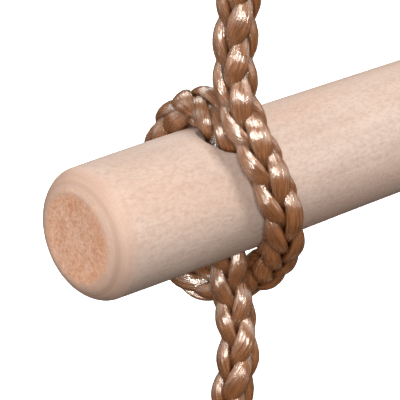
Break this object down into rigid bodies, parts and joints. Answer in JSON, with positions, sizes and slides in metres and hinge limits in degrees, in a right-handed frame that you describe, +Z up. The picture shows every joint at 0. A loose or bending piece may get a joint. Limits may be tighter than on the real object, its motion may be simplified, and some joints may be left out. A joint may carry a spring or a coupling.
{
  "type": "rope ladder",
  "caption": "hanging rope ladder: round drilled wooden rungs hitched onto a pair of shiny braided ropes with a steel ring at the top of each rope",
  "frame": {"origin": "midway between the two hooks that the rings hang on, level with the inside top of the rings", "axes": "+X along the rungs, -Y the front where the rope comes down onto each rung, +Z up"},
  "size_m": [0.38, 0.0612, 1.5387],
  "materials": {
    "wood": "fine sanded, unvarnished",
    "rope": "glossy braided synthetic, copper brown",
    "steel": "zinc plated",
    "sleeve": "pressed, satin"
  },
  "bodies": {
    "rings": {"ring_left": "steel", "ring_right": "steel"},
    "bay_1": {"rung_1": "wood", "rope_left_1": "rope", "rope_right_1": "rope", "thimble_left": "steel", "thimble_right": "steel", "ferrule_left": "sleeve", "ferrule_right": "sleeve"},
    "bay_2": {"rung_2": "wood", "rope_left_2": "rope", "rope_right_2": "rope"},
    "bay_3": {"rung_3": "wood", "rope_left_3": "rope", "rope_right_3": "rope"},
    "bay_4": {"rung_4": "wood", "rope_left_4": "rope", "rope_right_4": "rope"},
    "bay_5": {"rung_5": "wood", "rope_left_5": "rope", "rope_right_5": "rope", "rope_end_left": "rope", "rope_end_right": "rope"}
  },
  "joints": [
    {"name": "swing", "type": "hinge", "parent": "rings", "child": "bay_1", "pos_m": [0, 0, -0.054], "axis": [1, 0, 0], "range_deg": [-60, 60]},
    {"name": "fold_2", "type": "hinge", "parent": "bay_1", "child": "bay_2", "pos_m": [0, -0.0052, -0.352], "axis": [1, 0, 0], "range_deg": [-60, 60]},
    {"name": "fold_3", "type": "hinge", "parent": "bay_2", "child": "bay_3", "pos_m": [0, -0.0052, -0.632], "axis": [1, 0, 0], "range_deg": [-60, 60]},
    {"name": "fold_4", "type": "hinge", "parent": "bay_3", "child": "bay_4", "pos_m": [0, -0.0052, -0.912], "axis": [1, 0, 0], "range_deg": [-60, 60]},
    {"name": "fold_5", "type": "hinge", "parent": "bay_4", "child": "bay_5", "pos_m": [0, -0.0052, -1.192], "axis": [1, 0, 0], "range_deg": [-60, 60]}
  ]
}
